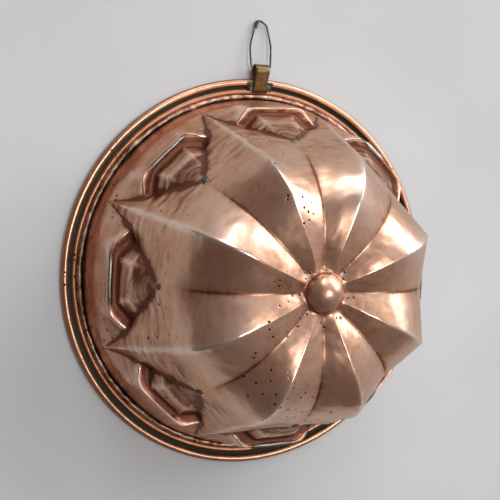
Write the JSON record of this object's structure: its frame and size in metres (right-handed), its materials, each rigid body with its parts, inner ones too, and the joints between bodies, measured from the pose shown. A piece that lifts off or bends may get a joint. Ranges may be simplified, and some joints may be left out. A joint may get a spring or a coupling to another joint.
{
  "type": "copper cake mould",
  "caption": "Hand-raised round copper cake mould with roof-shaped lobes, a central knob, stepped side panels, a wired rim and a hinged hanging loop.",
  "frame": {"origin": "centre of the rim's underside, on the plane that the mould stands on", "axes": "+Z is the mould's axis, out of the dome; +Y points to the hanging loop; +X completes the right-handed set"},
  "size_m": [0.2399, 0.2762, 0.1058],
  "materials": {
    "copper_body": "hand-hammered copper, polished, dull in the hollows",
    "copper_rim": "rolled copper sheet with dark patina in the grooves",
    "strap_copper": "worn copper strap with green patina",
    "solder": "lumpy grey tin solder",
    "iron_wire": "plain iron wire",
    "steel_wire": "dark drawn steel wire"
  },
  "bodies": {
    "mould": {"mould_body": "copper_body", "valley_end_plugs": "solder", "knob_foot_plugs": "solder", "rim_ring": "copper_rim", "core_wire": "iron_wire", "seam_solder": "solder", "hanger_strap": "strap_copper", "hanger_solder": "solder"},
    "loop": {"hanging_loop": "steel_wire"}
  },
  "joints": [
    {"name": "loop_hinge", "type": "hinge", "parent": "mould", "child": "loop", "pos_m": [0, 0.12695, 0.0044], "axis": [1, 0, 0], "range_deg": [0, 130]}
  ]
}
